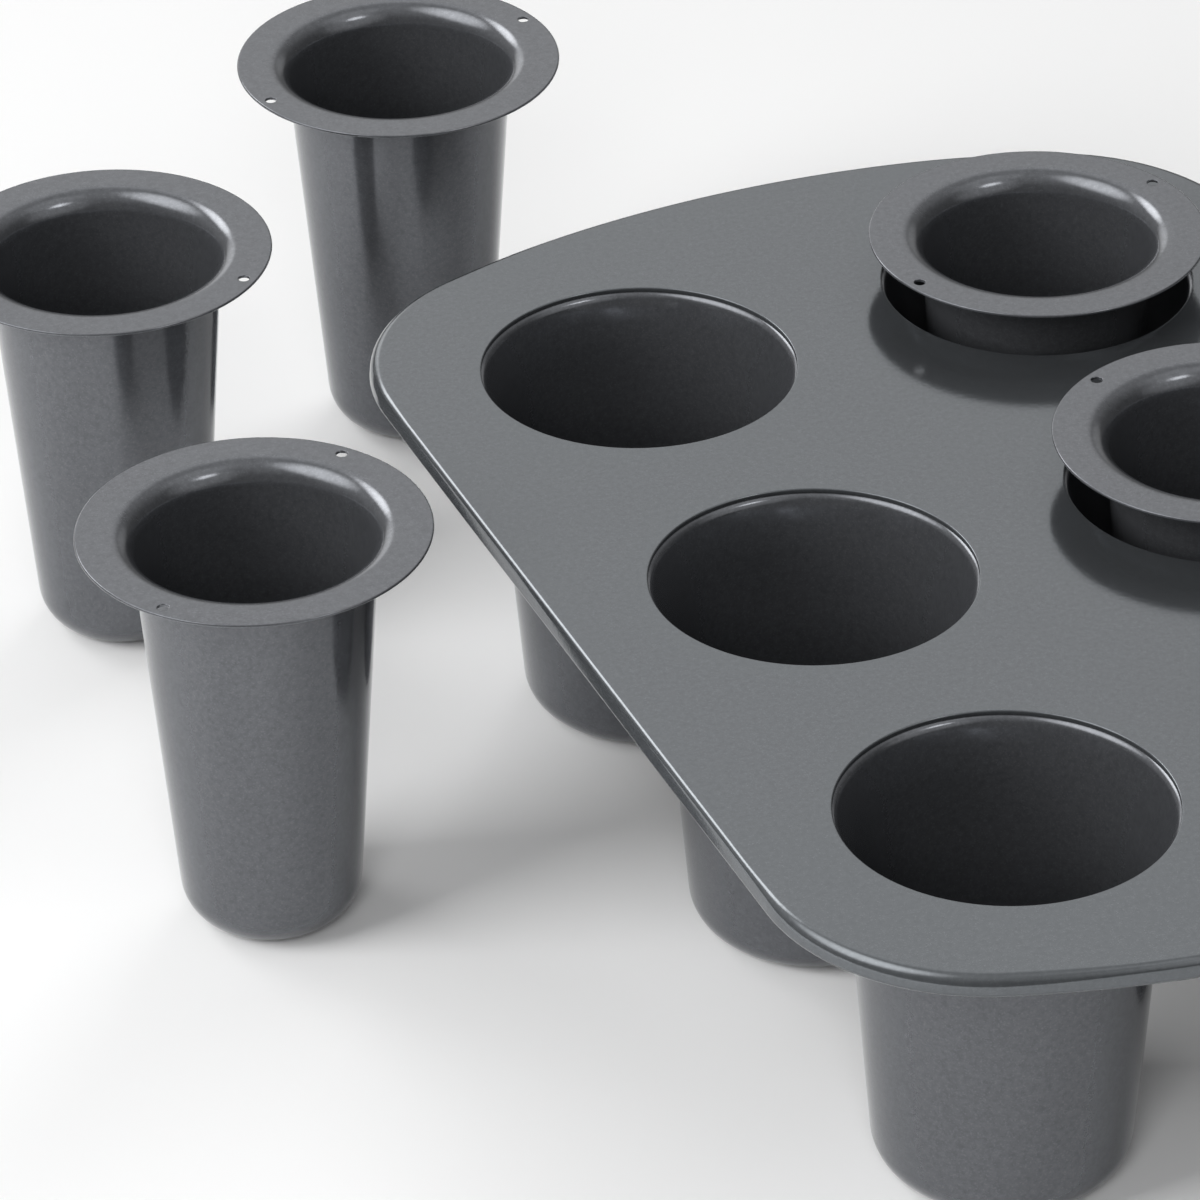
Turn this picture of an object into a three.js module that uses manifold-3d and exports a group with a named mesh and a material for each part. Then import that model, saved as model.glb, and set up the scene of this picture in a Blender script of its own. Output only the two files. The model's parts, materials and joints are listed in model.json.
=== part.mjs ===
// Cookie shot glass mould: a baking pan of drawn wells lapped under one plate, with a loose
// flanged insert for every well. The right-hand inserts are seated in their wells, and the
// others stand on the table beside the pan. Millimetres, +Z up, +Y to the back of the pan.

import * as THREE from 'three';
import { mergeVertices } from 'three/addons/utils/BufferGeometryUtils.js';
import Module from 'manifold-3d';

// Pan layout
const openingRadius = 30; // plate opening over each well
const columnWeb = 23.5; // plate between the openings of the two columns
const rowWeb = 22; // plate between the openings of neighbouring rows
const sideMargin = 18.8; // openings to the outermost line of the rim, at the sides
const endMargin = 27.3; // the same, at the middle of the bowed ends
const endBowRadius = 197;
const plateCornerRadius = 40.5;
const panHeight = 73.7; // table to plate top

// Plate sheet and its rolled rim
const plateSheet = 0.8;
const rimBend = 0.15; // inner radius where the plate turns down
const rimDrop = 2.1; // height of the band between the bend and the bead
const rimLean = THREE.MathUtils.degToRad(6); // lean of the band, outwards to its foot
const beadRadius = 1; // roll along the foot of the band, turned inwards

// Walls of wells and inserts
const draftAngle = THREE.MathUtils.degToRad(4.45);

// Wells
const wellSheet = 0.6;
const wellCornerRadius = 7.5; // floor to wall, outside
const shoulderRadius = 2; // wall to lap flange, upper face
const shoulderStep = 0.2; // edge of the opening to the start of the shoulder
const lapWidth = 4; // flange under the plate, beyond the opening

// Inserts
const insertSheet = 0.6;
const insertCornerRadius = 9; // floor to wall, outside
const mouthRadius = 4.5; // wall to flange, upper face
const cookieWall = 6; // room for dough between a well and its insert
const flangeOverhang = 2.6; // flange beyond the plate opening
const flangeLift = 9.4; // plate top to the flange of a seated insert
const flangeHoleRadius = 1.1;
const flangeHoleInset = 2.5; // flange edge to the middle of a hole
const seatGap = 0.1; // well floor to a seated insert

// Places of the inserts that stand on the table
const frontStandGap = 10.6; // side of the plate to the flange
const frontStandAlong = 42; // middle of the pan to the insert, along Y
const leftStandGap = 1.9; // side of the plate to the flange
const standSpacing = 43.5; // front standing flange to left standing flange, along Y
const backStandGap = 28.8; // end of the plate to the flange
const backStandAcross = -44.8; // middle of the pan to the insert, along X

// Fineness of round faces
const roundSegments = 28;
const arcSteps = 3;
const bowSteps = 12;
const holeSegments = 12;

// Worked-out sizes
const columnPitch = 2 * openingRadius + columnWeb;
const rowPitch = 2 * openingRadius + rowWeb;
const plateWidth = columnPitch + 2 * (openingRadius + sideMargin);
const plateLength = 2 * (rowPitch + openingRadius + endMargin);
const wellHeight = panHeight - plateSheet;
const shoulderZ = wellHeight - shoulderRadius;
const shoulderCentre = openingRadius - shoulderStep;
const wellBaseRadius =
  shoulderCentre - (shoulderRadius - wellSheet) / Math.cos(draftAngle) - shoulderZ * Math.tan(draftAngle);
const seatZ = wellSheet + seatGap;
const insertHeight = panHeight + flangeLift + insertSheet - seatZ;
const insertBaseRadius =
  wellBaseRadius - (wellSheet + cookieWall) / Math.cos(draftAngle) + seatZ * Math.tan(draftAngle);
const flangeRadius = openingRadius + flangeOverhang;
const frontStandX = -(plateWidth / 2 + frontStandGap + flangeRadius);
const leftStandX = -(plateWidth / 2 + leftStandGap + flangeRadius);
const leftStandY = frontStandAlong + 2 * flangeRadius + standSpacing;
const backStandY = plateLength / 2 + backStandGap + flangeRadius;

const wellColumns = [
  { name: 'left', x: -columnPitch / 2 },
  { name: 'right', x: columnPitch / 2 },
];
const wellRows = [
  { name: 'front', y: -rowPitch },
  { name: 'middle', y: 0 },
  { name: 'back', y: rowPitch },
];
const wells = wellColumns.flatMap((column) =>
  wellRows.map((row) => ({ name: `${row.name}_${column.name}`, x: column.x, y: row.y })),
);

// Every insert with the direction of its first flange hole, in degrees about +Z
const inserts = [
  { name: 'seated_front', x: columnPitch / 2, y: -rowPitch, z: seatZ, holeTurn: -20 },
  { name: 'seated_middle', x: columnPitch / 2, y: 0, z: seatZ, holeTurn: 118 },
  { name: 'seated_back', x: columnPitch / 2, y: rowPitch, z: seatZ, holeTurn: 16.5 },
  { name: 'standing_front', x: frontStandX, y: frontStandAlong, z: 0, holeTurn: 37.5 },
  { name: 'standing_left', x: leftStandX, y: leftStandY, z: 0, holeTurn: -45.6 },
  { name: 'standing_back', x: backStandAcross, y: backStandY, z: 0, holeTurn: 11 },
];

const wasm = await Module();
wasm.setup();

/** Satin dark grey non-stick coating on steel sheet. */
function coating(color) {
  return new THREE.MeshStandardMaterial({ color, roughness: 0.42, metalness: 0.45 });
}

/** Points on an arc about (x, y), both ends included. */
function arc(x, y, radius, from, to, steps = arcSteps) {
  return new THREE.EllipseCurve(x, y, radius, radius, from, to, to < from).getPoints(steps);
}

/** Solid of a closed geometry, with its shared vertices merged. */
function solidOf(geometry) {
  geometry.deleteAttribute('normal');
  geometry.deleteAttribute('uv');
  const merged = mergeVertices(geometry);
  const corners = merged.index.array;
  const triVerts = [];
  for (let i = 0; i < corners.length; i += 3) {
    const [a, b, c] = corners.slice(i, i + 3);
    if (a !== b && b !== c && c !== a) triVerts.push(a, b, c);
  }
  return new wasm.Manifold(
    new wasm.Mesh({
      numProp: 3,
      vertProperties: merged.attributes.position.array,
      triVerts: new Uint32Array(triVerts),
    }),
  );
}

/** Geometry of a solid after its cuts. */
function geometryOf(solid) {
  const { vertProperties, triVerts } = solid.getMesh();
  const geometry = new THREE.BufferGeometry();
  geometry.setAttribute('position', new THREE.BufferAttribute(vertProperties, 3));
  geometry.setIndex(new THREE.BufferAttribute(triVerts, 1));
  geometry.computeVertexNormals();
  return geometry;
}

/** Upright cylinder that cuts a round hole through a sheet. */
function punch(radius, sheet, x, y, z, segments) {
  const geometry = new THREE.CylinderGeometry(radius, radius, 3 * sheet, segments);
  return solidOf(geometry.rotateX(Math.PI / 2).translate(x, y, z));
}

/**
 * One face of a flanged cup's sheet, `inset` in from the outer face: flat floor, round corner,
 * drafted wall, rounded mouth and flat flange, as (radius, height) points from the axis outwards.
 */
function cupFace(cup, inset) {
  const { baseRadius, height, flange, sheet, corner, mouth } = cup;
  const slope = Math.tan(draftAngle);
  const lean = 1 / Math.cos(draftAngle);
  const cornerX = baseRadius + corner * slope - corner * lean;
  const mouthZ = height - mouth;
  const mouthX = baseRadius + mouthZ * slope + (mouth - sheet) * lean;
  return [
    new THREE.Vector2(0, inset),
    ...arc(cornerX, corner, corner - inset, -Math.PI / 2, -draftAngle),
    ...arc(mouthX, mouthZ, mouth - sheet + inset, Math.PI - draftAngle, Math.PI / 2),
    new THREE.Vector2(flange, height - sheet + inset),
  ];
}

/** Drawn cup of even sheet with an outward flange, standing on z = 0. */
function cupGeometry(cup) {
  const section = [...cupFace(cup, 0), ...cupFace(cup, cup.sheet).reverse()];
  return new THREE.LatheGeometry(section, roundSegments).rotateX(Math.PI / 2);
}

/** Well cup, whose flange laps under the plate. */
function wellGeometry() {
  return cupGeometry({
    baseRadius: wellBaseRadius,
    height: wellHeight,
    flange: openingRadius + lapWidth,
    sheet: wellSheet,
    corner: wellCornerRadius,
    mouth: shoulderRadius,
  });
}

/** Insert with two opposite holes in its flange. */
function insertGeometry(holeTurn) {
  const cup = cupGeometry({
    baseRadius: insertBaseRadius,
    height: insertHeight,
    flange: flangeRadius,
    sheet: insertSheet,
    corner: insertCornerRadius,
    mouth: mouthRadius,
  });
  const reach = flangeRadius - flangeHoleInset;
  const turn = THREE.MathUtils.degToRad(holeTurn);
  const x = reach * Math.cos(turn);
  const y = reach * Math.sin(turn);
  const z = insertHeight - insertSheet / 2;
  const drilled = solidOf(cup)
    .subtract(punch(flangeHoleRadius, insertSheet, x, y, z, holeSegments))
    .subtract(punch(flangeHoleRadius, insertSheet, -x, -y, z, holeSegments));
  return geometryOf(drilled);
}

/** Plate outline, `inset` in from the rim's outermost line: straight sides, bowed ends, round corners. */
function plateOutline(inset) {
  const bowY = plateLength / 2 - endBowRadius;
  const cornerX = plateWidth / 2 - plateCornerRadius;
  const cornerY = bowY + Math.sqrt((endBowRadius - plateCornerRadius) ** 2 - cornerX ** 2);
  const turn = Math.atan2(cornerY - bowY, cornerX);
  const corner = plateCornerRadius - inset;
  const bow = endBowRadius - inset;
  return [
    ...arc(cornerX, cornerY, corner, 0, turn, 3 * arcSteps),
    ...arc(0, bowY, bow, turn, Math.PI - turn, bowSteps).slice(1, -1),
    ...arc(-cornerX, cornerY, corner, Math.PI - turn, Math.PI, 3 * arcSteps),
    ...arc(-cornerX, -cornerY, corner, Math.PI, Math.PI + turn, 3 * arcSteps),
    ...arc(0, -bowY, bow, Math.PI + turn, 2 * Math.PI - turn, bowSteps).slice(1, -1),
    ...arc(cornerX, -cornerY, corner, 2 * Math.PI - turn, 2 * Math.PI, 3 * arcSteps),
  ];
}

/**
 * Rim section from the flat top to the underside, as (inset, height) points: the bend, the leaning band,
 * the bead that the band runs into and the band's inner face, which starts where the bead meets it.
 */
function rimSection() {
  const bend = plateSheet + rimBend;
  const bendZ = panHeight - bend;
  const bandX = beadRadius * (1 - Math.cos(rimLean)) + rimDrop * Math.tan(rimLean);
  const bendX = bandX + bend * Math.cos(rimLean);
  const beadZ = bendZ + (bend - beadRadius) * Math.sin(rimLean) - rimDrop;
  const bandTurn = Math.PI - rimLean;
  const beadTurn = bandTurn + 1.5 * Math.PI + Math.asin(1 - plateSheet / beadRadius);
  return [
    ...arc(bendX, bendZ, bend, Math.PI / 2, bandTurn),
    ...arc(beadRadius, beadZ, beadRadius, bandTurn, beadTurn, 3 * arcSteps),
    ...arc(bendX, bendZ, rimBend, bandTurn, Math.PI / 2),
  ];
}

/** Skin over outlines that follow the rim section, closed flat over its first and last outline. */
function rimmedSheet(section) {
  const outlines = section.map((point) => plateOutline(point.x));
  const count = outlines[0].length;
  const points = outlines.flatMap((outline, ring) =>
    outline.map((point) => new THREE.Vector3(point.x, point.y, section[ring].y)),
  );
  const index = [];
  for (let ring = 0; ring + 1 < outlines.length; ring += 1) {
    for (let i = 0; i < count; i += 1) {
      const a = ring * count + i;
      const b = ring * count + ((i + 1) % count);
      index.push(a, a + count, b + count, a, b + count, b);
    }
  }
  const last = (outlines.length - 1) * count;
  for (const [a, b, c] of THREE.ShapeUtils.triangulateShape(outlines[0], [])) {
    index.push(a, b, c, last + a, last + c, last + b);
  }
  return new THREE.BufferGeometry().setFromPoints(points).setIndex(index);
}

/** Plate with its rolled rim and an opening over every well. */
function plateGeometry() {
  const z = panHeight - plateSheet / 2;
  const openings = wells.map((well) => punch(openingRadius, plateSheet, well.x, well.y, z, roundSegments));
  const sheet = solidOf(rimmedSheet(rimSection()));
  return geometryOf(openings.reduce((plate, opening) => plate.subtract(opening), sheet));
}

/** Named mesh at a place in the pan's own frame. */
function piece(name, geometry, color, x = 0, y = 0, z = 0) {
  const mesh = new THREE.Mesh(geometry, coating(color));
  mesh.name = name;
  mesh.position.set(x, y, z);
  return mesh;
}

const mould = new THREE.Group();
mould.add(piece('tray_plate', plateGeometry(), 0x74787b));
for (const well of wells) {
  mould.add(piece(`well_${well.name}`, wellGeometry(), 0x686c70, well.x, well.y));
}
for (const { name, x, y, z, holeTurn } of inserts) {
  mould.add(piece(`insert_${name}`, insertGeometry(holeTurn), 0x6c7074, x, y, z));
}

// The origin is on the table, under the middle of the whole set.
const middle = new THREE.Box3().setFromObject(mould).getCenter(new THREE.Vector3());
mould.position.set(-middle.x, -middle.y, 0);

export default mould;
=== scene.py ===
"""Cookie shot glass mould: the coated plate, its wells and the loose inserts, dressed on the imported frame.

Lengths are in metres and +Z is up. The pan's own middle lies at PAN_MIDDLE in the frame.
"""

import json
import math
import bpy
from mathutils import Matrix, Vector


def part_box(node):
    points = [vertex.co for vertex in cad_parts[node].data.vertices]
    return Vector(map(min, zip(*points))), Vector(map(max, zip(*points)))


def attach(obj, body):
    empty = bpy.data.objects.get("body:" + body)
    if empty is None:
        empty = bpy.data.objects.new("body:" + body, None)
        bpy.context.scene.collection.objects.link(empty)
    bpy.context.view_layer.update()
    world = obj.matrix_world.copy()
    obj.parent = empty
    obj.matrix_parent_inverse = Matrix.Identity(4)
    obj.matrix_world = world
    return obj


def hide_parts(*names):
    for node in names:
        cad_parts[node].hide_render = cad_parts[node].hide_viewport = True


bl_info = {
    "name": "Cookie Shot Glass Mould",
    "version": (1, 0, 0),
    "blender": (4, 5, 0),
    "location": "View3D > Sidebar > Mould",
    "description": "Builds the coated baking plate, its drawn wells and its loose flanged inserts",
    "category": "Add Mesh",
}

import bmesh
import bpy
import numpy as np
from bpy.props import FloatProperty, FloatVectorProperty, IntProperty, PointerProperty
from bpy.types import Operator, Panel, PropertyGroup
from mathutils import Matrix, Vector

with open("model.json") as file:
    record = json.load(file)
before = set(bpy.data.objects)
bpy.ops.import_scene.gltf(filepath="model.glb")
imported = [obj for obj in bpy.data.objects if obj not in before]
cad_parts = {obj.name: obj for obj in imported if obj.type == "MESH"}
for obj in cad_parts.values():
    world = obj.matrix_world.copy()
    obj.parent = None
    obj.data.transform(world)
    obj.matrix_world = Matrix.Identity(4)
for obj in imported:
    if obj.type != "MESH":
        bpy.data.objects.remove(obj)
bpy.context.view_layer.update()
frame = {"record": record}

ROWS = ("front", "middle", "back")
COLUMNS = ("left", "right")
WELLS = [f"well_{row}_{column}" for column in COLUMNS for row in ROWS]
INSERT_HOLE_TURNS = {  # turn of the two flange holes about an insert's axis, in degrees
    "insert_seated_front": -20.0,
    "insert_seated_middle": 118.0,
    "insert_seated_back": 16.5,
    "insert_standing_front": 37.5,
    "insert_standing_left": -45.6,
    "insert_standing_back": 11.0,
}


def middle_of(node):
    """Middle of a node's box at rest, at the height of its lowest point."""
    low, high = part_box(node)
    return Vector(((low.x + high.x) / 2, (low.y + high.y) / 2, low.z))


PLATE_LOW, PLATE_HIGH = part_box("tray_plate")
WELL_LOW, WELL_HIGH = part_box(WELLS[0])
INSERT_LOW, INSERT_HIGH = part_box("insert_standing_front")
PAN_MIDDLE = (PLATE_LOW + PLATE_HIGH) / 2
COLUMN_PITCH = middle_of("well_front_right").x - middle_of("well_front_left").x
ROW_PITCH = middle_of("well_middle_left").y - middle_of("well_front_left").y
SAME_POINT = 1e-7  # points of a section that are closer than this are one point
MERGE_DISTANCE = 1e-6  # points of neighbouring grids that are closer than this are joined


def length(name, description, default):
    """A length property in metres."""
    return FloatProperty(name=name, description=description, default=default, min=0.0, unit="LENGTH", precision=5)


def angle(name, description, degrees):
    """An angle property, given in degrees."""
    return FloatProperty(name=name, description=description, default=math.radians(degrees), min=0.0, subtype="ANGLE")


def share(name, description, default):
    """A share from nothing to all."""
    return FloatProperty(name=name, description=description, default=default, min=0.0, max=1.0, subtype="FACTOR")


def power(name, description, default):
    """A lamp's power in watts."""
    return FloatProperty(name=name, description=description, default=default, min=0.0, unit="POWER")


def tint(name, description, default):
    """A linear colour."""
    return FloatVectorProperty(
        name=name, description=description, default=default, size=3, min=0.0, max=1.0, subtype="COLOR"
    )


class MouldPlateSizes(PropertyGroup):
    """Sizes of the plate and its rolled rim."""

    opening_radius: length("Opening", "Radius of the plate's opening over a well", 0.030)
    sheet: length("Sheet", "Thickness of the plate", 0.0008)
    lip: length("Lip", "Round on the upper edge of an opening", 0.0003)
    bow_radius: length("End bow", "Radius of the bowed ends, at the outermost line of the rim", 0.197)
    corner_radius: length("Corner", "Radius of the corners, at the outermost line of the rim", 0.0405)
    rim_bend: length("Rim bend", "Inner radius where the plate turns down along its sides", 0.0004)
    corner_bend: length("Corner bend", "Inner radius where the plate turns down at its corners", 0.0015)
    end_bend: length("End bend", "Inner radius where the plate turns down along its bowed ends", 0.0009)
    bend_change: length("Bend change", "Length of edge over which one bend becomes the next", 0.024)
    rim_drop: length("Rim drop", "Height of the band between the bend and the bead", 0.00188)
    rim_lean: angle("Rim lean", "Lean of the band, outwards to its foot", 6.0)
    bead_radius: length("Bead", "Radius of the roll along the foot of the band, turned inwards", 0.001)
    point_spacing: length("Point spacing", "Spacing of points along the plate's edges", 0.0023)


class MouldCupSizes(PropertyGroup):
    """Sizes of the wells and the inserts."""

    draft: angle("Draft", "Lean of the walls", 4.45)
    sheet: length("Sheet", "Thickness of the drawn steel", 0.0006)
    well_corner: length("Well floor corner", "Outer radius between a well's floor and wall", 0.0075)
    insert_corner: length("Insert floor corner", "Outer radius between an insert's floor and wall", 0.009)
    shoulder_radius: length("Well shoulder", "Upper radius between a well's wall and its flange", 0.0018)
    shoulder_lap: length("Shoulder lap", "Reach of the plate's edge over the start of a well's shoulder", 0.00075)
    flare_radius: length("Well flare", "Radius in which the top of a well's wall flares out to its shoulder", 0.04245)
    flare_tilt: angle("Well flare tilt", "Lean of the wall where the flare meets the shoulder", 18.0)
    mouth_radius: length("Insert mouth", "Upper radius between an insert's wall and its flange", 0.0045)
    cookie_wall: length("Cookie wall", "Room for dough between a well and its insert", 0.006)
    hole_radius: length("Flange hole", "Radius of the holes in an insert's flange", 0.0011)
    hole_inset: length("Flange hole inset", "Edge of the flange to the middle of a hole", 0.0025)
    turns: IntProperty(name="Turns", description="Points round a cup", default=192, min=48)


class MouldFinish(PropertyGroup):
    """Colours and gloss of the non-stick coating."""

    plate_color: tint("Plate", "Coating on the plate", (0.129, 0.138, 0.147))
    well_color: tint("Wells", "Coating on the wells", (0.132, 0.137, 0.148))
    insert_color: tint("Inserts", "Coating on the inserts", (0.132, 0.137, 0.148))
    metallic: share("Metal", "How metallic the coating looks", 0.68)
    roughness: share("Roughness", "Roughness of the coating", 0.13)
    speckle_size: length("Speckle", "Size of one metal flake", 0.00025)
    clump_size: length("Clumps", "Size of one clump of flakes", 0.0011)
    plate_grain: share("Plate grain", "How strongly the grain shows on the plate", 0.20)
    cup_grain: share("Cup grain", "How strongly the grain shows on the wells and inserts", 0.30)


class MouldStage(PropertyGroup):
    """Floor, lamps and camera."""

    floor_color: tint("Floor", "Colour of the floor", (0.93, 0.93, 0.93))
    dome: FloatProperty(name="Dome", description="Strength of the light from all round", default=0.25, min=0.0)
    walls: share("Walls", "Brightness of the darkest walls in a reflection", 0.12)
    left_softbox: power("Left softbox", "Power of the softbox on the left", 3.6)
    left_fill: power("Left fill", "Power of the low fill on the left", 14.0)
    back_fill: power("Back fill", "Power of the fill at the back", 3.0)
    front_fill: power("Front fill", "Power of the fill by the camera", 7.2)
    right_fill: power("Right fill", "Power of the fill on the right", 5.6)
    lens: FloatProperty(name="Lens", description="Focal length of the camera", default=213.18, min=1.0, unit="CAMERA")


# Meshes from arrays


def arc(x, y, radius, start, end, steps):
    """Points on a circle: (x, y) + radius (cos a, sin a), with the angle a even from start to end, in degrees."""
    a = np.radians(np.linspace(start, end, steps + 1))
    return np.column_stack((x + radius * np.cos(a), y + radius * np.sin(a)))


def line(start, end, steps):
    """Points on a straight line, even from start to end, both ends included."""
    s = np.linspace(0.0, 1.0, steps + 1)[:, None]
    return np.asarray(start) * (1 - s) + np.asarray(end) * s


def chain(*stretches):
    """Stretches of points joined end to end, with the shared ends kept once."""
    points = np.vstack(stretches)
    keep = np.ones(len(points), bool)
    keep[1:] = np.linalg.norm(np.diff(points, axis=0), axis=1) > SAME_POINT
    return points[keep]


def grid_quads(rows, columns, closed):
    """Corner numbers of the quads of a grid of points, row by row, whose columns may close on themselves."""
    i, j = np.meshgrid(np.arange(rows - 1), np.arange(columns if closed else columns - 1), indexing="ij")
    k = (j + 1) % columns
    return np.stack((i * columns + j, i * columns + k, (i + 1) * columns + k, (i + 1) * columns + j), axis=-1)


def join_parts(name, parts):
    """Object from (points, quads) parts, with shared points merged and faces turned outwards."""
    offsets = np.cumsum([0] + [len(points) for points, _ in parts[:-1]])
    points = np.vstack([points for points, _ in parts])
    quads = np.vstack([quads.reshape(-1, 4) + offset for (_, quads), offset in zip(parts, offsets)])
    mesh = bpy.data.meshes.new(name)
    mesh.from_pydata(points.tolist(), [], quads.tolist())
    work = bmesh.new()
    work.from_mesh(mesh)
    bmesh.ops.remove_doubles(work, verts=work.verts, dist=MERGE_DISTANCE)
    bmesh.ops.recalc_face_normals(work, faces=work.faces)
    work.to_mesh(mesh)
    work.free()
    mesh.shade_smooth()
    made = bpy.data.objects.new(name, mesh)
    bpy.context.scene.collection.objects.link(made)
    return made


def dress(piece, material, node):
    """Puts a piece in a node's place: gives it its coating and its body, and hides the node's own part."""
    piece.data.materials.append(material)
    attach(piece, next(body for body, nodes in frame["record"]["behaviour"]["bodies"].items() if node in nodes))
    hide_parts(node)
    return piece


# Coating

FLAKE_LIFT = 1.6  # a flake's colour over the coating's
FLAKE_SHARE = 1.2  # how strongly a flake shows, per strength of the grain
GLOSS_SPREAD = 0.02  # roughness of the dullest and glossiest patches either side of the coating's
GRAIN_BUMP = 0.12
GRAIN_DEPTH = 0.0001
MIX_A, MIX_B, MIX_RESULT = 6, 7, 2  # the colour sockets of a Mix node, which share their names with its others

def group_socket(group, name, direction, kind="NodeSocketFloat", default=None):
    """One named socket on a node group."""
    socket = group.interface.new_socket(name=name, in_out=direction, socket_type=kind)
    if default is not None:
        socket.default_value = default
    return socket


def speckle_group():
    """Node group: small metal flakes in the coating, as a mask of bright flakes and a soft grain.

    The grain is noise of one clump's width and finer. A flake shows where its own cell's random value passes the
    threshold.
    """
    name = "Metal speckle"
    if name in bpy.data.node_groups:
        return bpy.data.node_groups[name]
    group = bpy.data.node_groups.new(name, "ShaderNodeTree")
    group_socket(group, "Position", "INPUT", "NodeSocketVector")
    group_socket(group, "Flakes per metre", "INPUT", default=4000.0)
    group_socket(group, "Clumps per metre", "INPUT", default=900.0)
    group_socket(group, "Threshold", "INPUT", default=0.8)
    group_socket(group, "Flake", "OUTPUT")
    group_socket(group, "Grain", "OUTPUT")
    nodes, links = group.nodes, group.links
    entry = nodes.new("NodeGroupInput")
    leave = nodes.new("NodeGroupOutput")
    cells = nodes.new("ShaderNodeTexVoronoi")
    split = nodes.new("ShaderNodeSeparateColor")
    pick = nodes.new("ShaderNodeMapRange")
    noise = nodes.new("ShaderNodeTexNoise")
    noise.inputs["Detail"].default_value = 3.0
    noise.inputs["Roughness"].default_value = 0.65
    links.new(entry.outputs["Position"], cells.inputs["Vector"])
    links.new(entry.outputs["Flakes per metre"], cells.inputs["Scale"])
    links.new(cells.outputs["Color"], split.inputs["Color"])
    links.new(split.outputs["Red"], pick.inputs["Value"])
    links.new(entry.outputs["Threshold"], pick.inputs["From Min"])
    links.new(entry.outputs["Position"], noise.inputs["Vector"])
    links.new(entry.outputs["Clumps per metre"], noise.inputs["Scale"])
    links.new(pick.outputs["Result"], leave.inputs["Flake"])
    links.new(noise.outputs["Fac"], leave.inputs["Grain"])
    return group


def handling_group():
    """Node group: broad soft patches left by spraying and handling, as one value from 0 to 1."""
    name = "Handling patches"
    if name in bpy.data.node_groups:
        return bpy.data.node_groups[name]
    group = bpy.data.node_groups.new(name, "ShaderNodeTree")
    group_socket(group, "Position", "INPUT", "NodeSocketVector")
    group_socket(group, "Patches per metre", "INPUT", default=45.0)
    group_socket(group, "Patch", "OUTPUT")
    nodes, links = group.nodes, group.links
    entry = nodes.new("NodeGroupInput")
    leave = nodes.new("NodeGroupOutput")
    noise = nodes.new("ShaderNodeTexNoise")
    noise.inputs["Detail"].default_value = 2.0
    links.new(entry.outputs["Position"], noise.inputs["Vector"])
    links.new(entry.outputs["Patches per metre"], noise.inputs["Scale"])
    links.new(noise.outputs["Fac"], leave.inputs["Patch"])
    return group


def blend_value(nodes, links, value, low, high):
    """Map Range node that takes a 0 to 1 value to low..high."""
    node = nodes.new("ShaderNodeMapRange")
    node.inputs["To Min"].default_value = low
    node.inputs["To Max"].default_value = high
    links.new(value, node.inputs["Value"])
    return node.outputs["Result"]


def coating_material(name, color, strength):
    """Satin non-stick coating: dark grey with fine metal flakes, a slight grain and slightly uneven gloss."""
    finish = bpy.context.scene.mould_finish
    material = bpy.data.materials.new(name)
    material.use_nodes = True
    nodes, links = material.node_tree.nodes, material.node_tree.links
    nodes.clear()
    place = nodes.new("ShaderNodeTexCoord").outputs["Object"]
    speckle = nodes.new("ShaderNodeGroup")
    speckle.node_tree = speckle_group()
    speckle.inputs["Flakes per metre"].default_value = 1.0 / finish.speckle_size
    speckle.inputs["Clumps per metre"].default_value = 1.0 / finish.clump_size
    links.new(place, speckle.inputs["Position"])
    patches = nodes.new("ShaderNodeGroup")
    patches.node_tree = handling_group()
    links.new(place, patches.inputs["Position"])

    grain = nodes.new("ShaderNodeMix")
    grain.data_type = "RGBA"
    grain.inputs[MIX_A].default_value = (*[c * (1 - strength) for c in color], 1.0)
    grain.inputs[MIX_B].default_value = (*[c * (1 + strength) for c in color], 1.0)
    links.new(speckle.outputs["Grain"], grain.inputs["Factor"])
    flakes = nodes.new("ShaderNodeMix")
    flakes.data_type = "RGBA"
    flakes.inputs[MIX_B].default_value = (*[c * FLAKE_LIFT for c in color], 1.0)
    links.new(grain.outputs[MIX_RESULT], flakes.inputs[MIX_A])
    shown = blend_value(nodes, links, speckle.outputs["Flake"], 0.0, FLAKE_SHARE * strength)
    links.new(shown, flakes.inputs["Factor"])

    shader = nodes.new("ShaderNodeBsdfPrincipled")
    shader.inputs["Metallic"].default_value = finish.metallic
    links.new(flakes.outputs[MIX_RESULT], shader.inputs["Base Color"])
    glossy, dull = finish.roughness - GLOSS_SPREAD, finish.roughness + GLOSS_SPREAD
    links.new(blend_value(nodes, links, patches.outputs["Patch"], glossy, dull), shader.inputs["Roughness"])
    bump = nodes.new("ShaderNodeBump")
    bump.inputs["Strength"].default_value = GRAIN_BUMP
    bump.inputs["Distance"].default_value = GRAIN_DEPTH
    links.new(speckle.outputs["Grain"], bump.inputs["Height"])
    links.new(bump.outputs["Normal"], shader.inputs["Normal"])
    leave = nodes.new("ShaderNodeOutputMaterial")
    links.new(shader.outputs["BSDF"], leave.inputs["Surface"])
    return material


# Plate


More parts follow.
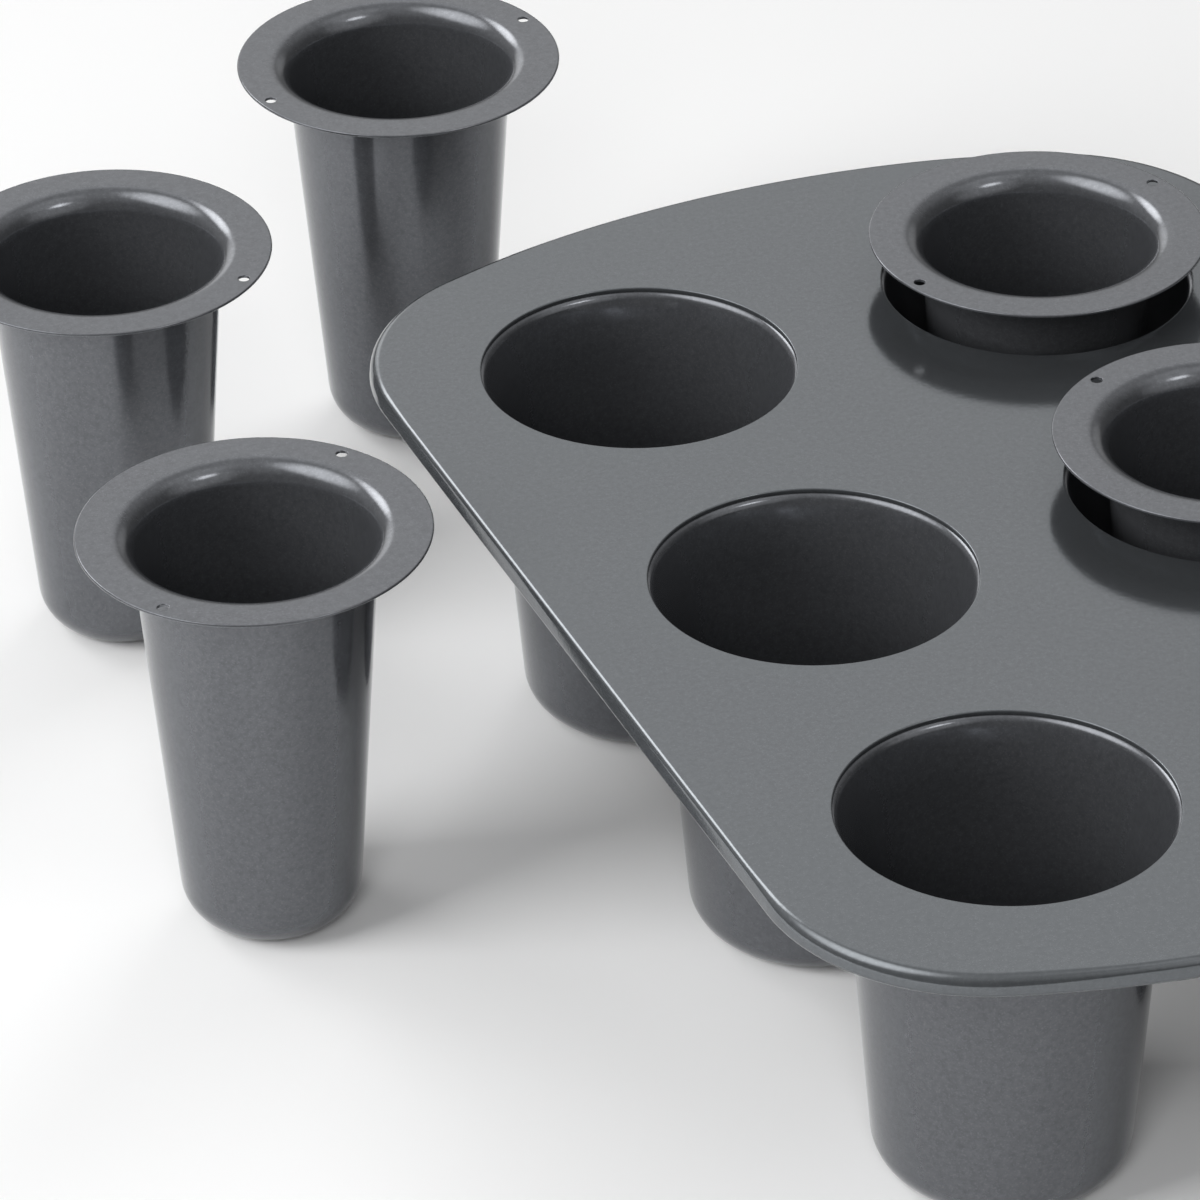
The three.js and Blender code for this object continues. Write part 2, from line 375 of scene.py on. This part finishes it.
def rim_section(sizes, inner):
    """Rim with a bend of one inner radius, as (inset from the outermost line, height) points from top to underside.

    The bend down, the leaning band, the bead that the band runs into, and the band's inner face, which starts
    where the bead meets it. The bead keeps its place, so a wider bend leaves a lower band.
    """
    lean = math.degrees(sizes.rim_lean)
    slope, side = math.sin(sizes.rim_lean), math.cos(sizes.rim_lean)
    bend, bead = sizes.sheet + inner, sizes.bead_radius
    drop = sizes.rim_drop - (inner - sizes.rim_bend) * (1 - slope)
    bend_x = bead * (1 - side) + drop * slope / side + bend * side
    bend_z = PLATE_HIGH.z - bend
    bead_z = bend_z + (bend - bead) * slope - drop
    meet = 450 - lean + math.degrees(math.asin(1 - sizes.sheet / bead))
    return chain(
        [(bend_x + sizes.lip, PLATE_HIGH.z)],
        arc(bend_x, bend_z, bend, 90, 180 - lean, 14),
        arc(bead, bead_z, bead, 180 - lean, meet, 24),
        arc(bend_x, bend_z, inner, 180 - lean, 90, 4),
    )


def smooth_step(t):
    """Smooth rise from 0 to 1 as t does: 3 t^2 - 2 t^3."""
    t = np.clip(t, 0.0, 1.0)
    return t * t * (3 - 2 * t)


def spaced(distance, sizes):
    """How many even steps a stretch takes at the plate's point spacing."""
    return max(2, math.ceil(distance / sizes.point_spacing))


def plate_cell(row, sizes, inset):
    """Edge of the plate round one right-hand well, from the pan's middle: (points, outline normals, bend shares).

    The edge runs up the outline first, then back along the lines that part the cell from its neighbours.
    Points past the outline stretch have no normal, so the normals are fewer than the points. The share says how
    far the rim's bend at an outline point has grown from that of the sides to that of the corners.
    """
    half_width = PLATE_HIGH.x - PAN_MIDDLE.x
    half_length = PLATE_HIGH.y - PAN_MIDDLE.y
    side = half_width - inset
    part = ROW_PITCH / 2
    if row == "middle":
        outline = line((side, -part), (side, part), spaced(ROW_PITCH, sizes))
        normals = np.tile((1.0, 0.0), (len(outline), 1))
        shares = np.zeros(len(outline))
        corners = [(side, part), (0.0, part), (0.0, -part), (side, -part)]
    else:
        bow_y = half_length - sizes.bow_radius
        corner_x = half_width - sizes.corner_radius
        corner_y = bow_y + math.sqrt((sizes.bow_radius - sizes.corner_radius) ** 2 - corner_x**2)
        turn = math.degrees(math.atan2(corner_y - bow_y, corner_x))
        corner = sizes.corner_radius - inset
        bow = sizes.bow_radius - inset
        corner_steps = spaced(math.radians(turn) * corner, sizes)
        bow_steps = spaced(math.radians(90 - turn) * bow, sizes)
        side_steps = spaced(corner_y - part, sizes)
        outline = chain(
            line((side, part), (side, corner_y), side_steps),
            arc(corner_x, corner_y, corner, 0, turn, corner_steps),
            arc(0.0, bow_y, bow, turn, 90, bow_steps),
        )
        side_normals = np.tile((1.0, 0.0), (side_steps, 1))
        corner_normals = arc(0.0, 0.0, 1.0, 0, turn, corner_steps)
        bow_normals = arc(0.0, 0.0, 1.0, turn, 90, bow_steps)[1:]
        normals = np.vstack((side_normals, corner_normals, bow_normals))
        steps = np.linalg.norm(np.diff(outline, axis=0), axis=1)
        past_side = np.append(0.0, np.cumsum(steps)) - (corner_y - part)
        past_corner = past_side - math.radians(turn) * corner
        end_share = (sizes.end_bend - sizes.rim_bend) / (sizes.corner_bend - sizes.rim_bend)
        shares = smooth_step(past_side / sizes.bend_change + 0.5)
        shares *= 1 - (1 - end_share) * smooth_step(past_corner / sizes.bend_change)
        corners = [tuple(outline[-1]), (0.0, part), (side, part)]
    inner = [line(a, b, spaced(math.dist(a, b), sizes)) for a, b in zip(corners, corners[1:])]
    return chain(outline, *inner)[:-1], normals, shares


CELL_RINGS = np.array([1.0, 0.985, 0.7, 0.4, 0.15, 0.02])  # where the sheet has rings: 1 at the edge, 0 at the lip


def cell_grid(edge, centre, sizes):
    """Sheet round one opening as a grid: top from the edge in, down the opening's lip, and out below to the edge.

    Each row is a blend of the opening's circle and the cell's edge, at one height; columns are rays from the centre.
    """
    top = PLATE_HIGH.z
    rays = edge - centre
    rays /= np.linalg.norm(rays, axis=1)[:, None]
    lip = sizes.lip
    under = top - sizes.sheet
    foot = lip / 2
    bore = chain(
        arc(sizes.opening_radius + lip, top - lip, lip, 90, 180, 6),
        arc(sizes.opening_radius + foot, under + foot, foot, 180, 270, 4),
    )
    rings = [(sizes.opening_radius + lip, top, s) for s in CELL_RINGS]
    rings += [(radius, height, 0.0) for radius, height in bore]
    rings += [(sizes.opening_radius + foot, under, s) for s in CELL_RINGS[::-1]]
    radius, height, s = (np.array(column)[:, None, None] for column in zip(*rings))
    flat = (centre + radius * rays[None]) * (1 - s) + edge[None] * s
    return np.concatenate((flat, np.broadcast_to(height, (*flat.shape[:2], 1))), axis=-1)


def rim_grid(outline, normals, shares, tight, wide, inset):
    """Rim along an outline stretch as a grid: each outline point moved along its normal by each section point.

    The section at a point is (1 - share) tight + share wide.
    """
    section = tight[:, None] * (1 - shares)[None, :, None] + wide[:, None] * shares[None, :, None]
    flat = outline[None] + normals[None] * (inset - section[..., :1])
    return np.concatenate((flat, section[..., 1:]), axis=-1)


def plate_parts(sizes):
    """Grids of the whole plate: one cell and one rim stretch for each well, mirrored from the right-hand back."""
    sections = [rim_section(sizes, inner) for inner in (sizes.rim_bend, sizes.corner_bend)]
    inset = sections[1][0, 0] + sizes.lip
    top, under = (inset, PLATE_HIGH.z), (inset, PLATE_HIGH.z - sizes.sheet)
    tight, wide = (np.vstack((top, section, under)) for section in sections)
    parts = []
    for row in ("middle", "back"):
        edge, normals, shares = plate_cell(row, sizes, inset)
        outline = edge[: len(normals)]
        centre = np.array((COLUMN_PITCH / 2, 0.0 if row == "middle" else ROW_PITCH))
        sheet = cell_grid(edge, centre, sizes)
        rim = rim_grid(outline, normals, shares, tight, wide, inset)
        for across in (1, -1):
            for along in (1,) if row == "middle" else (1, -1):
                for grid, closed in ((sheet, True), (rim, False)):
                    placed = grid * (across, along, 1) + (PAN_MIDDLE.x, PAN_MIDDLE.y, 0)
                    parts.append((placed.reshape(-1, 3), grid_quads(*grid.shape[:2], closed)))
    return parts


class MOULD_OT_plate(Operator):
    """Build the plate with its rolled rim and its openings"""

    bl_idname = "mould.plate"
    bl_label = "Tray plate"

    def execute(self, context):
        scene = context.scene
        finish = scene.mould_finish
        plate = join_parts("coated_tray_plate", plate_parts(scene.mould_plate))
        material = coating_material("plate coating", finish.plate_color, finish.plate_grain)
        dress(plate, material, "tray_plate")
        return {"FINISHED"}


# Wells and inserts


def cup_face(cup, inset):
    """One face of a flanged cup's sheet, inset from the outer face, as (radius, height) points from the axis out.

    Flat floor, corner arc, leaning wall, flare arc, mouth arc and flat flange; the arcs keep their centres as the
    inset grows.
    """
    draft, flare_tilt = cup["draft"], cup["flare_tilt"]
    slope, lean = math.tan(draft), 1 / math.cos(draft)
    corner_x = cup["base"] + cup["corner"] * (slope - lean)
    mouth_z = cup["height"] - cup["mouth"]
    beyond = cup["flare"] - cup["mouth"]
    flare_z = mouth_z - beyond * math.sin(flare_tilt)
    flare_x = cup["base"] + flare_z * slope + (cup["flare"] - cup["sheet"]) * lean
    mouth_x = flare_x - beyond * math.cos(flare_tilt)
    level = cup["height"] - cup["sheet"] + inset
    tilt, flared = math.degrees(draft), math.degrees(flare_tilt)
    corner = arc(corner_x, cup["corner"], cup["corner"] - inset, -90, -tilt, 12)
    flare = arc(flare_x, flare_z, cup["flare"] - cup["sheet"] + inset, 180 - tilt, 180 - flared, 8)
    mouth = arc(mouth_x, mouth_z, cup["mouth"] - cup["sheet"] + inset, 180 - flared, 90, 12)
    flange = np.column_stack((cup["rings"], np.full(len(cup["rings"]), level)))
    floor = line((0.0, inset), corner[0], 5)
    wall = line(corner[-1], flare[0], 10)
    return chain(floor, corner, wall, flare, mouth, flange[flange[:, 0] > mouth_x])


def cup_section(cup):
    """Closed section of a cup: its outer face, the flange's rounded edge, and its inner face back to the axis."""
    outer = cup_face(cup, 0.0)
    inner = cup_face(cup, cup["sheet"])
    half = cup["sheet"] / 2
    edge = arc(cup["flange"] - half, cup["height"] - half, half, -90, 90, 8)
    return chain(outer, edge, inner[::-1])


def turned(section, turns, start):
    """Surface of revolution as a grid: (r cos a, r sin a, z) for each section point (r, z) and each angle a."""
    a = start + np.linspace(0.0, 2 * np.pi, turns, endpoint=False)
    r, z = section[:, 0][:, None], section[:, 1][:, None]
    return np.stack((r * np.cos(a), r * np.sin(a), np.broadcast_to(z, (len(section), turns))), axis=-1)


def well_cup(plate, sizes):
    """Sizes of a well: its flange laps under the plate, and its shoulder starts under the plate's edge."""
    height = WELL_HIGH.z - WELL_LOW.z
    lean, slope = 1 / math.cos(sizes.draft), math.tan(sizes.draft)
    shoulder = plate.opening_radius + sizes.shoulder_lap
    beyond = sizes.flare_radius - sizes.shoulder_radius
    flare_x = shoulder + beyond * math.cos(sizes.flare_tilt)
    flare_z = height - sizes.shoulder_radius - beyond * math.sin(sizes.flare_tilt)
    base = flare_x - (sizes.flare_radius - sizes.sheet) * lean - flare_z * slope
    flange = (WELL_HIGH.x - WELL_LOW.x) / 2
    return {
        "base": base,
        "height": height,
        "flange": flange,
        "sheet": sizes.sheet,
        "corner": sizes.well_corner,
        "mouth": sizes.shoulder_radius,
        "flare": sizes.flare_radius,
        "flare_tilt": sizes.flare_tilt,
        "draft": sizes.draft,
        "rings": np.linspace(shoulder, flange - sizes.sheet / 2, 5),
    }


def insert_cup(plate, sizes):
    """Sizes of an insert: its wall follows the well's at the cookie wall's distance."""
    well = well_cup(plate, sizes)
    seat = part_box("insert_seated_middle")[0].z
    lean, slope = 1 / math.cos(sizes.draft), math.tan(sizes.draft)
    flange = (INSERT_HIGH.x - INSERT_LOW.x) / 2
    reach = flange - sizes.hole_inset
    patch = hole_patch_half(reach, sizes)
    return {
        "base": well["base"] - (sizes.sheet + sizes.cookie_wall) * lean + seat * slope,
        "height": INSERT_HIGH.z - INSERT_LOW.z,
        "flange": flange,
        "sheet": sizes.sheet,
        "corner": sizes.insert_corner,
        "mouth": sizes.mouth_radius,
        "flare": sizes.mouth_radius,
        "flare_tilt": sizes.draft,
        "draft": sizes.draft,
        "rings": np.append(np.linspace(reach - patch, reach + patch, 5), flange - sizes.sheet / 2),
    }


HOLE_PATCH_STEPS = 2  # turn steps of the grid from a hole's middle to the edge of its square patch
HOLE_PATCH_BLEND = 0.4  # how far out the ring between a hole's lip and its patch's edge lies


def hole_patch_half(reach, sizes):
    """Half the width of the square patch round a flange hole."""
    return reach * HOLE_PATCH_STEPS * 2 * math.pi / sizes.turns


def hole_patch(cup, sizes, angle):
    """Flange round one hole as a grid: from the square patch's edge on top, down the hole's lip, to the edge below.

    The edge takes the grid's own points; each row between blends it with a circle of as many points.
    """
    reach = cup["flange"] - sizes.hole_inset
    steps = 2 * HOLE_PATCH_STEPS
    span = HOLE_PATCH_STEPS * 2 * math.pi / sizes.turns
    radii = cup["rings"][: steps + 1]
    turns = np.linspace(-span, span, steps + 1)
    edge = np.vstack(
        (
            np.column_stack((np.full(steps, radii[0]), turns[:-1])),
            np.column_stack((radii[:-1], np.full(steps, turns[-1]))),
            np.column_stack((np.full(steps, radii[-1]), turns[:0:-1])),
            np.column_stack((radii[:0:-1], np.full(steps, turns[0]))),
        )
    )
    square = np.column_stack((edge[:, 0] * np.cos(edge[:, 1]), edge[:, 0] * np.sin(edge[:, 1])))
    first_corner = np.radians(225)
    around = first_corner - np.linspace(0, 2 * np.pi, len(square), endpoint=False)
    circle = np.column_stack((np.cos(around), np.sin(around)))
    top, under = cup["height"], cup["height"] - cup["sheet"]
    lip = cup["sheet"] / 4
    bore = chain(
        arc(sizes.hole_radius + lip, top - lip, lip, 90, 180, 4),
        arc(sizes.hole_radius + lip, under + lip, lip, 180, 270, 4),
    )
    rings = [(0.0, top, 1.0), (bore[0, 0], top, HOLE_PATCH_BLEND)]
    rings += [(radius, height, 0.0) for radius, height in bore]
    rings += [(bore[-1, 0], under, HOLE_PATCH_BLEND), (0.0, under, 1.0)]
    radius, height, s = (np.array(column)[:, None, None] for column in zip(*rings))
    flat = (np.array((reach, 0.0)) + radius * circle[None]) * (1 - s) + square[None] * s
    x = flat[..., 0] * math.cos(angle) - flat[..., 1] * math.sin(angle)
    y = flat[..., 0] * math.sin(angle) + flat[..., 1] * math.cos(angle)
    return np.stack((x, y, np.broadcast_to(height[..., 0], x.shape)), axis=-1)


def insert_parts(cup, sizes, angle):
    """Grids of an insert: the turned cup, left open at two opposite squares of its flange, and a patch for each."""
    section = cup_section(cup)
    grid = turned(section, sizes.turns, angle)
    quads = grid_quads(*grid.shape[:2], True)
    first, last = cup["rings"][0] - SAME_POINT, cup["rings"][2 * HOLE_PATCH_STEPS] + SAME_POINT
    on_flange = (section[:, 0] >= first) & (section[:, 0] <= last)
    in_ring = on_flange[:-1] & on_flange[1:]
    column = np.arange(sizes.turns)
    near = np.zeros(sizes.turns, bool)
    for middle in (0, sizes.turns // 2):
        near |= (column - middle + HOLE_PATCH_STEPS) % sizes.turns < 2 * HOLE_PATCH_STEPS
    keep = ~(in_ring[:, None] & near[None, :])
    parts = [(grid.reshape(-1, 3), quads[keep])]
    for turn in (angle, angle + math.pi):
        patch = hole_patch(cup, sizes, turn)
        parts.append((patch.reshape(-1, 3), grid_quads(*patch.shape[:2], True)))
    return parts


def moved(parts, place):
    """Parts carried to a place in the frame."""
    return [(points + np.array(place), quads) for points, quads in parts]


class MOULD_OT_wells(Operator):
    """Build the drawn wells under the plate"""

    bl_idname = "mould.wells"
    bl_label = "Wells"

    def execute(self, context):
        scene = context.scene
        sizes = scene.mould_cups
        finish = scene.mould_finish
        material = coating_material("well coating", finish.well_color, finish.cup_grain)
        grid = turned(cup_section(well_cup(scene.mould_plate, sizes)), sizes.turns, 0.0)
        parts = [(grid.reshape(-1, 3), grid_quads(*grid.shape[:2], True))]
        for node in WELLS:
            piece = join_parts("coated_" + node, moved(parts, middle_of(node)))
            dress(piece, material, node)
        return {"FINISHED"}


class MOULD_OT_inserts(Operator):
    """Build the loose inserts, seated and standing"""

    bl_idname = "mould.inserts"
    bl_label = "Inserts"

    def execute(self, context):
        scene = context.scene
        sizes = scene.mould_cups
        finish = scene.mould_finish
        material = coating_material("insert coating", finish.insert_color, finish.cup_grain)
        cup = insert_cup(scene.mould_plate, sizes)
        for node, turn in INSERT_HOLE_TURNS.items():
            parts = insert_parts(cup, sizes, math.radians(turn))
            piece = join_parts("coated_" + node, moved(parts, middle_of(node)))
            dress(piece, material, node)
        return {"FINISHED"}


# Stage

CAMERA_PLACE = Vector((-0.48121, -0.99801, 0.75538))  # from the pan's middle on the table
CAMERA_YAW = -21.73  # degrees, as the next two
CAMERA_PITCH = 32.19
CAMERA_ROLL = -1.26
SENSOR_WIDTH = 36.0  # millimetres
FLOOR_REACH = 6.0
FLOOR_ROUGHNESS = 0.9
LAMP_DISTANCE = 1.5
LAMPS = {  # azimuth from +X and elevation in degrees, width and height in metres
    "left_softbox": (168.0, 50.0, 1.30, 0.60),
    "left_fill": (178.0, 28.0, 0.80, 0.70),
    "back_fill": (125.0, 32.0, 0.50, 0.50),
    "front_fill": (-120.0, 35.0, 0.60, 0.60),
    "right_fill": (45.0, 43.0, 0.80, 0.60),
}
MIRRORED = {  # azimuth, elevation, angle from there to which it is full and at which it has faded, brightness
    "ceiling": (103.0, 69.5, 5.0, 80.0, 0.55),
    "back_wall": (76.0, 37.0, 5.0, 30.0, 0.60),
    "back_softbox": (103.0, 36.5, 0.0, 15.0, 5.2),
    "back_softbox_foot": (88.0, 16.0, 0.0, 14.0, 1.2),
    "left_softbox": (165.0, 55.0, 0.0, 31.0, 3.0),
    "front_lamp": (-59.0, 50.5, 0.0, 9.0, 4.2),
    "front_wall": (-61.0, 34.0, 0.0, 36.0, 0.65),
    "top_lamp": (-26.0, 64.5, 0.0, 23.0, 0.45),
    "right_wall": (42.5, 14.0, 0.0, 14.0, 0.38),
}


def heading(azimuth, elevation):
    """Unit vector towards an azimuth from +X and an elevation, in degrees."""
    around, above = math.radians(azimuth), math.radians(elevation)
    return Vector((math.cos(around) * math.cos(above), math.sin(around) * math.cos(above), math.sin(above)))


def studio_floor(color):
    """Wide plain floor just under the object."""
    corners = ((-1, -1, 0), (1, -1, 0), (1, 1, 0), (-1, 1, 0))
    points = np.array(corners) * FLOOR_REACH
    mesh = bpy.data.meshes.new("studio_floor")
    mesh.from_pydata(points.tolist(), [], [(0, 1, 2, 3)])
    floor = bpy.data.objects.new("studio_floor", mesh)
    bpy.context.scene.collection.objects.link(floor)
    material = bpy.data.materials.new("studio floor")
    material.use_nodes = True
    shader = material.node_tree.nodes["Principled BSDF"]
    shader.inputs["Base Color"].default_value = (*color, 1.0)
    shader.inputs["Roughness"].default_value = FLOOR_ROUGHNESS
    shader.inputs["Specular IOR Level"].default_value = 0.0
    mesh.materials.append(material)
    return floor


def studio_world(dome, walls):
    """Even light from all round; the eye sees white, and a mirror sees ceiling and lamps over darker walls.

    A mirrored glow rises by a smooth step of the cosine of the angle from its middle.
    """
    world = bpy.data.worlds.new("studio world")
    bpy.context.scene.world = world
    world.use_nodes = True
    nodes, links = world.node_tree.nodes, world.node_tree.links
    nodes.clear()
    path = nodes.new("ShaderNodeLightPath")
    direction = nodes.new("ShaderNodeTexCoord").outputs["Generated"]
    mirrored = nodes.new("ShaderNodeValue").outputs[0]
    mirrored.default_value = walls
    for azimuth, elevation, full, faded, brightness in MIRRORED.values():
        along = nodes.new("ShaderNodeVectorMath")
        along.operation = "DOT_PRODUCT"
        along.inputs[1].default_value = heading(azimuth, elevation)
        links.new(direction, along.inputs[0])
        edge = nodes.new("ShaderNodeMapRange")
        edge.interpolation_type = "SMOOTHSTEP"
        edge.inputs["From Min"].default_value = math.cos(math.radians(faded))
        edge.inputs["From Max"].default_value = math.cos(math.radians(full))
        edge.inputs["To Max"].default_value = brightness
        links.new(along.outputs["Value"], edge.inputs["Value"])
        total = nodes.new("ShaderNodeMath")
        links.new(mirrored, total.inputs[0])
        links.new(edge.outputs["Result"], total.inputs[1])
        mirrored = total.outputs[0]
    dull = nodes.new("ShaderNodeMix")
    dull.inputs["A"].default_value = dome
    links.new(path.outputs["Is Glossy Ray"], dull.inputs["Factor"])
    links.new(mirrored, dull.inputs["B"])
    direct = nodes.new("ShaderNodeMath")
    direct.operation = "MAXIMUM"
    links.new(path.outputs["Is Camera Ray"], direct.inputs[0])
    links.new(path.outputs["Is Transmission Ray"], direct.inputs[1])
    strength = nodes.new("ShaderNodeMix")
    strength.inputs["B"].default_value = 1.0
    links.new(direct.outputs[0], strength.inputs["Factor"])
    links.new(dull.outputs["Result"], strength.inputs["A"])
    background = nodes.new("ShaderNodeBackground")
    background.inputs["Color"].default_value = (1.0, 1.0, 1.0, 1.0)
    links.new(strength.outputs["Result"], background.inputs["Strength"])
    leave = nodes.new("ShaderNodeOutputWorld")
    links.new(background.outputs[0], leave.inputs["Surface"])


def soft_lamp(name, azimuth, elevation, width, height, power):
    """Soft lamp in a direction from the pan's middle, which it faces; it lights and casts shadows, but isn't seen."""
    lamp = bpy.data.lights.new(name, "AREA")
    lamp.shape = "RECTANGLE"
    lamp.size = width
    lamp.size_y = height
    lamp.energy = power
    towards = heading(azimuth, elevation)
    made = bpy.data.objects.new(name, lamp)
    made.location = PAN_MIDDLE + towards * LAMP_DISTANCE
    made.rotation_euler = (-towards).to_track_quat("-Z", "Y").to_euler()
    made.visible_camera = False
    made.visible_glossy = False
    bpy.context.scene.collection.objects.link(made)
    return made


def studio_camera(lens):
    """Camera at the photograph's angle: yaw about +Z, pitch above the floor, then roll about its own axis."""
    yaw, pitch, roll = (math.radians(a) for a in (CAMERA_YAW, CAMERA_PITCH, CAMERA_ROLL))
    back = Vector((math.sin(yaw) * math.cos(pitch), -math.cos(yaw) * math.cos(pitch), math.sin(pitch)))
    right = Vector((math.cos(yaw), math.sin(yaw), 0.0))
    up = back.cross(right)
    across = right * math.cos(roll) + up * math.sin(roll)
    upward = up * math.cos(roll) - right * math.sin(roll)
    data = bpy.data.cameras.new("studio_camera")
    data.lens = lens
    data.sensor_width = SENSOR_WIDTH
    camera = bpy.data.objects.new("studio_camera", data)
    turn = Matrix((across, upward, back)).transposed().to_4x4()
    camera.matrix_world = Matrix.Translation(CAMERA_PLACE + Vector((PAN_MIDDLE.x, PAN_MIDDLE.y, 0.0))) @ turn
    bpy.context.scene.collection.objects.link(camera)
    bpy.context.scene.camera = camera


class MOULD_OT_stage(Operator):
    """Set the floor, the lamps, the background and the camera"""

    bl_idname = "mould.stage"
    bl_label = "Stage"

    def execute(self, context):
        scene = context.scene
        setup = scene.mould_stage
        studio_floor(setup.floor_color)
        studio_world(setup.dome, setup.walls)
        for name, lamp in LAMPS.items():
            soft_lamp(name, *lamp, getattr(setup, name))
        studio_camera(setup.lens)
        scene.view_settings.view_transform = "Standard"
        return {"FINISHED"}


class MOULD_PT_panel(Panel):
    """Lists the pieces of the mould and the stage"""

    bl_idname = "MOULD_PT_panel"
    bl_label = "Cookie shot glass mould"
    bl_space_type = "VIEW_3D"
    bl_region_type = "UI"
    bl_category = "Mould"

    def draw(self, context):
        for operator in OPERATORS:
            self.layout.operator(operator.bl_idname)
        for group in (context.scene.mould_plate, context.scene.mould_cups, context.scene.mould_finish):
            for name in group.__annotations__:
                self.layout.prop(group, name)


SETTINGS = {
    "mould_plate": MouldPlateSizes,
    "mould_cups": MouldCupSizes,
    "mould_finish": MouldFinish,
    "mould_stage": MouldStage,
}
OPERATORS = (MOULD_OT_plate, MOULD_OT_wells, MOULD_OT_inserts, MOULD_OT_stage)


def register():
    """Adds the classes, and a settings group for each part of the mould to the scene."""
    for cls in (*SETTINGS.values(), *OPERATORS, MOULD_PT_panel):
        bpy.utils.register_class(cls)
    for name, group in SETTINGS.items():
        setattr(bpy.types.Scene, name, PointerProperty(type=group))


def unregister():
    """Takes back what register added."""
    for name in SETTINGS:
        delattr(bpy.types.Scene, name)
    for cls in reversed((*SETTINGS.values(), *OPERATORS, MOULD_PT_panel)):
        bpy.utils.unregister_class(cls)


def main():
    """Builds every piece and the stage."""
    register()
    bpy.ops.mould.plate()
    bpy.ops.mould.wells()
    bpy.ops.mould.inserts()
    bpy.ops.mould.stage()


if __name__ == "__main__":
    main()
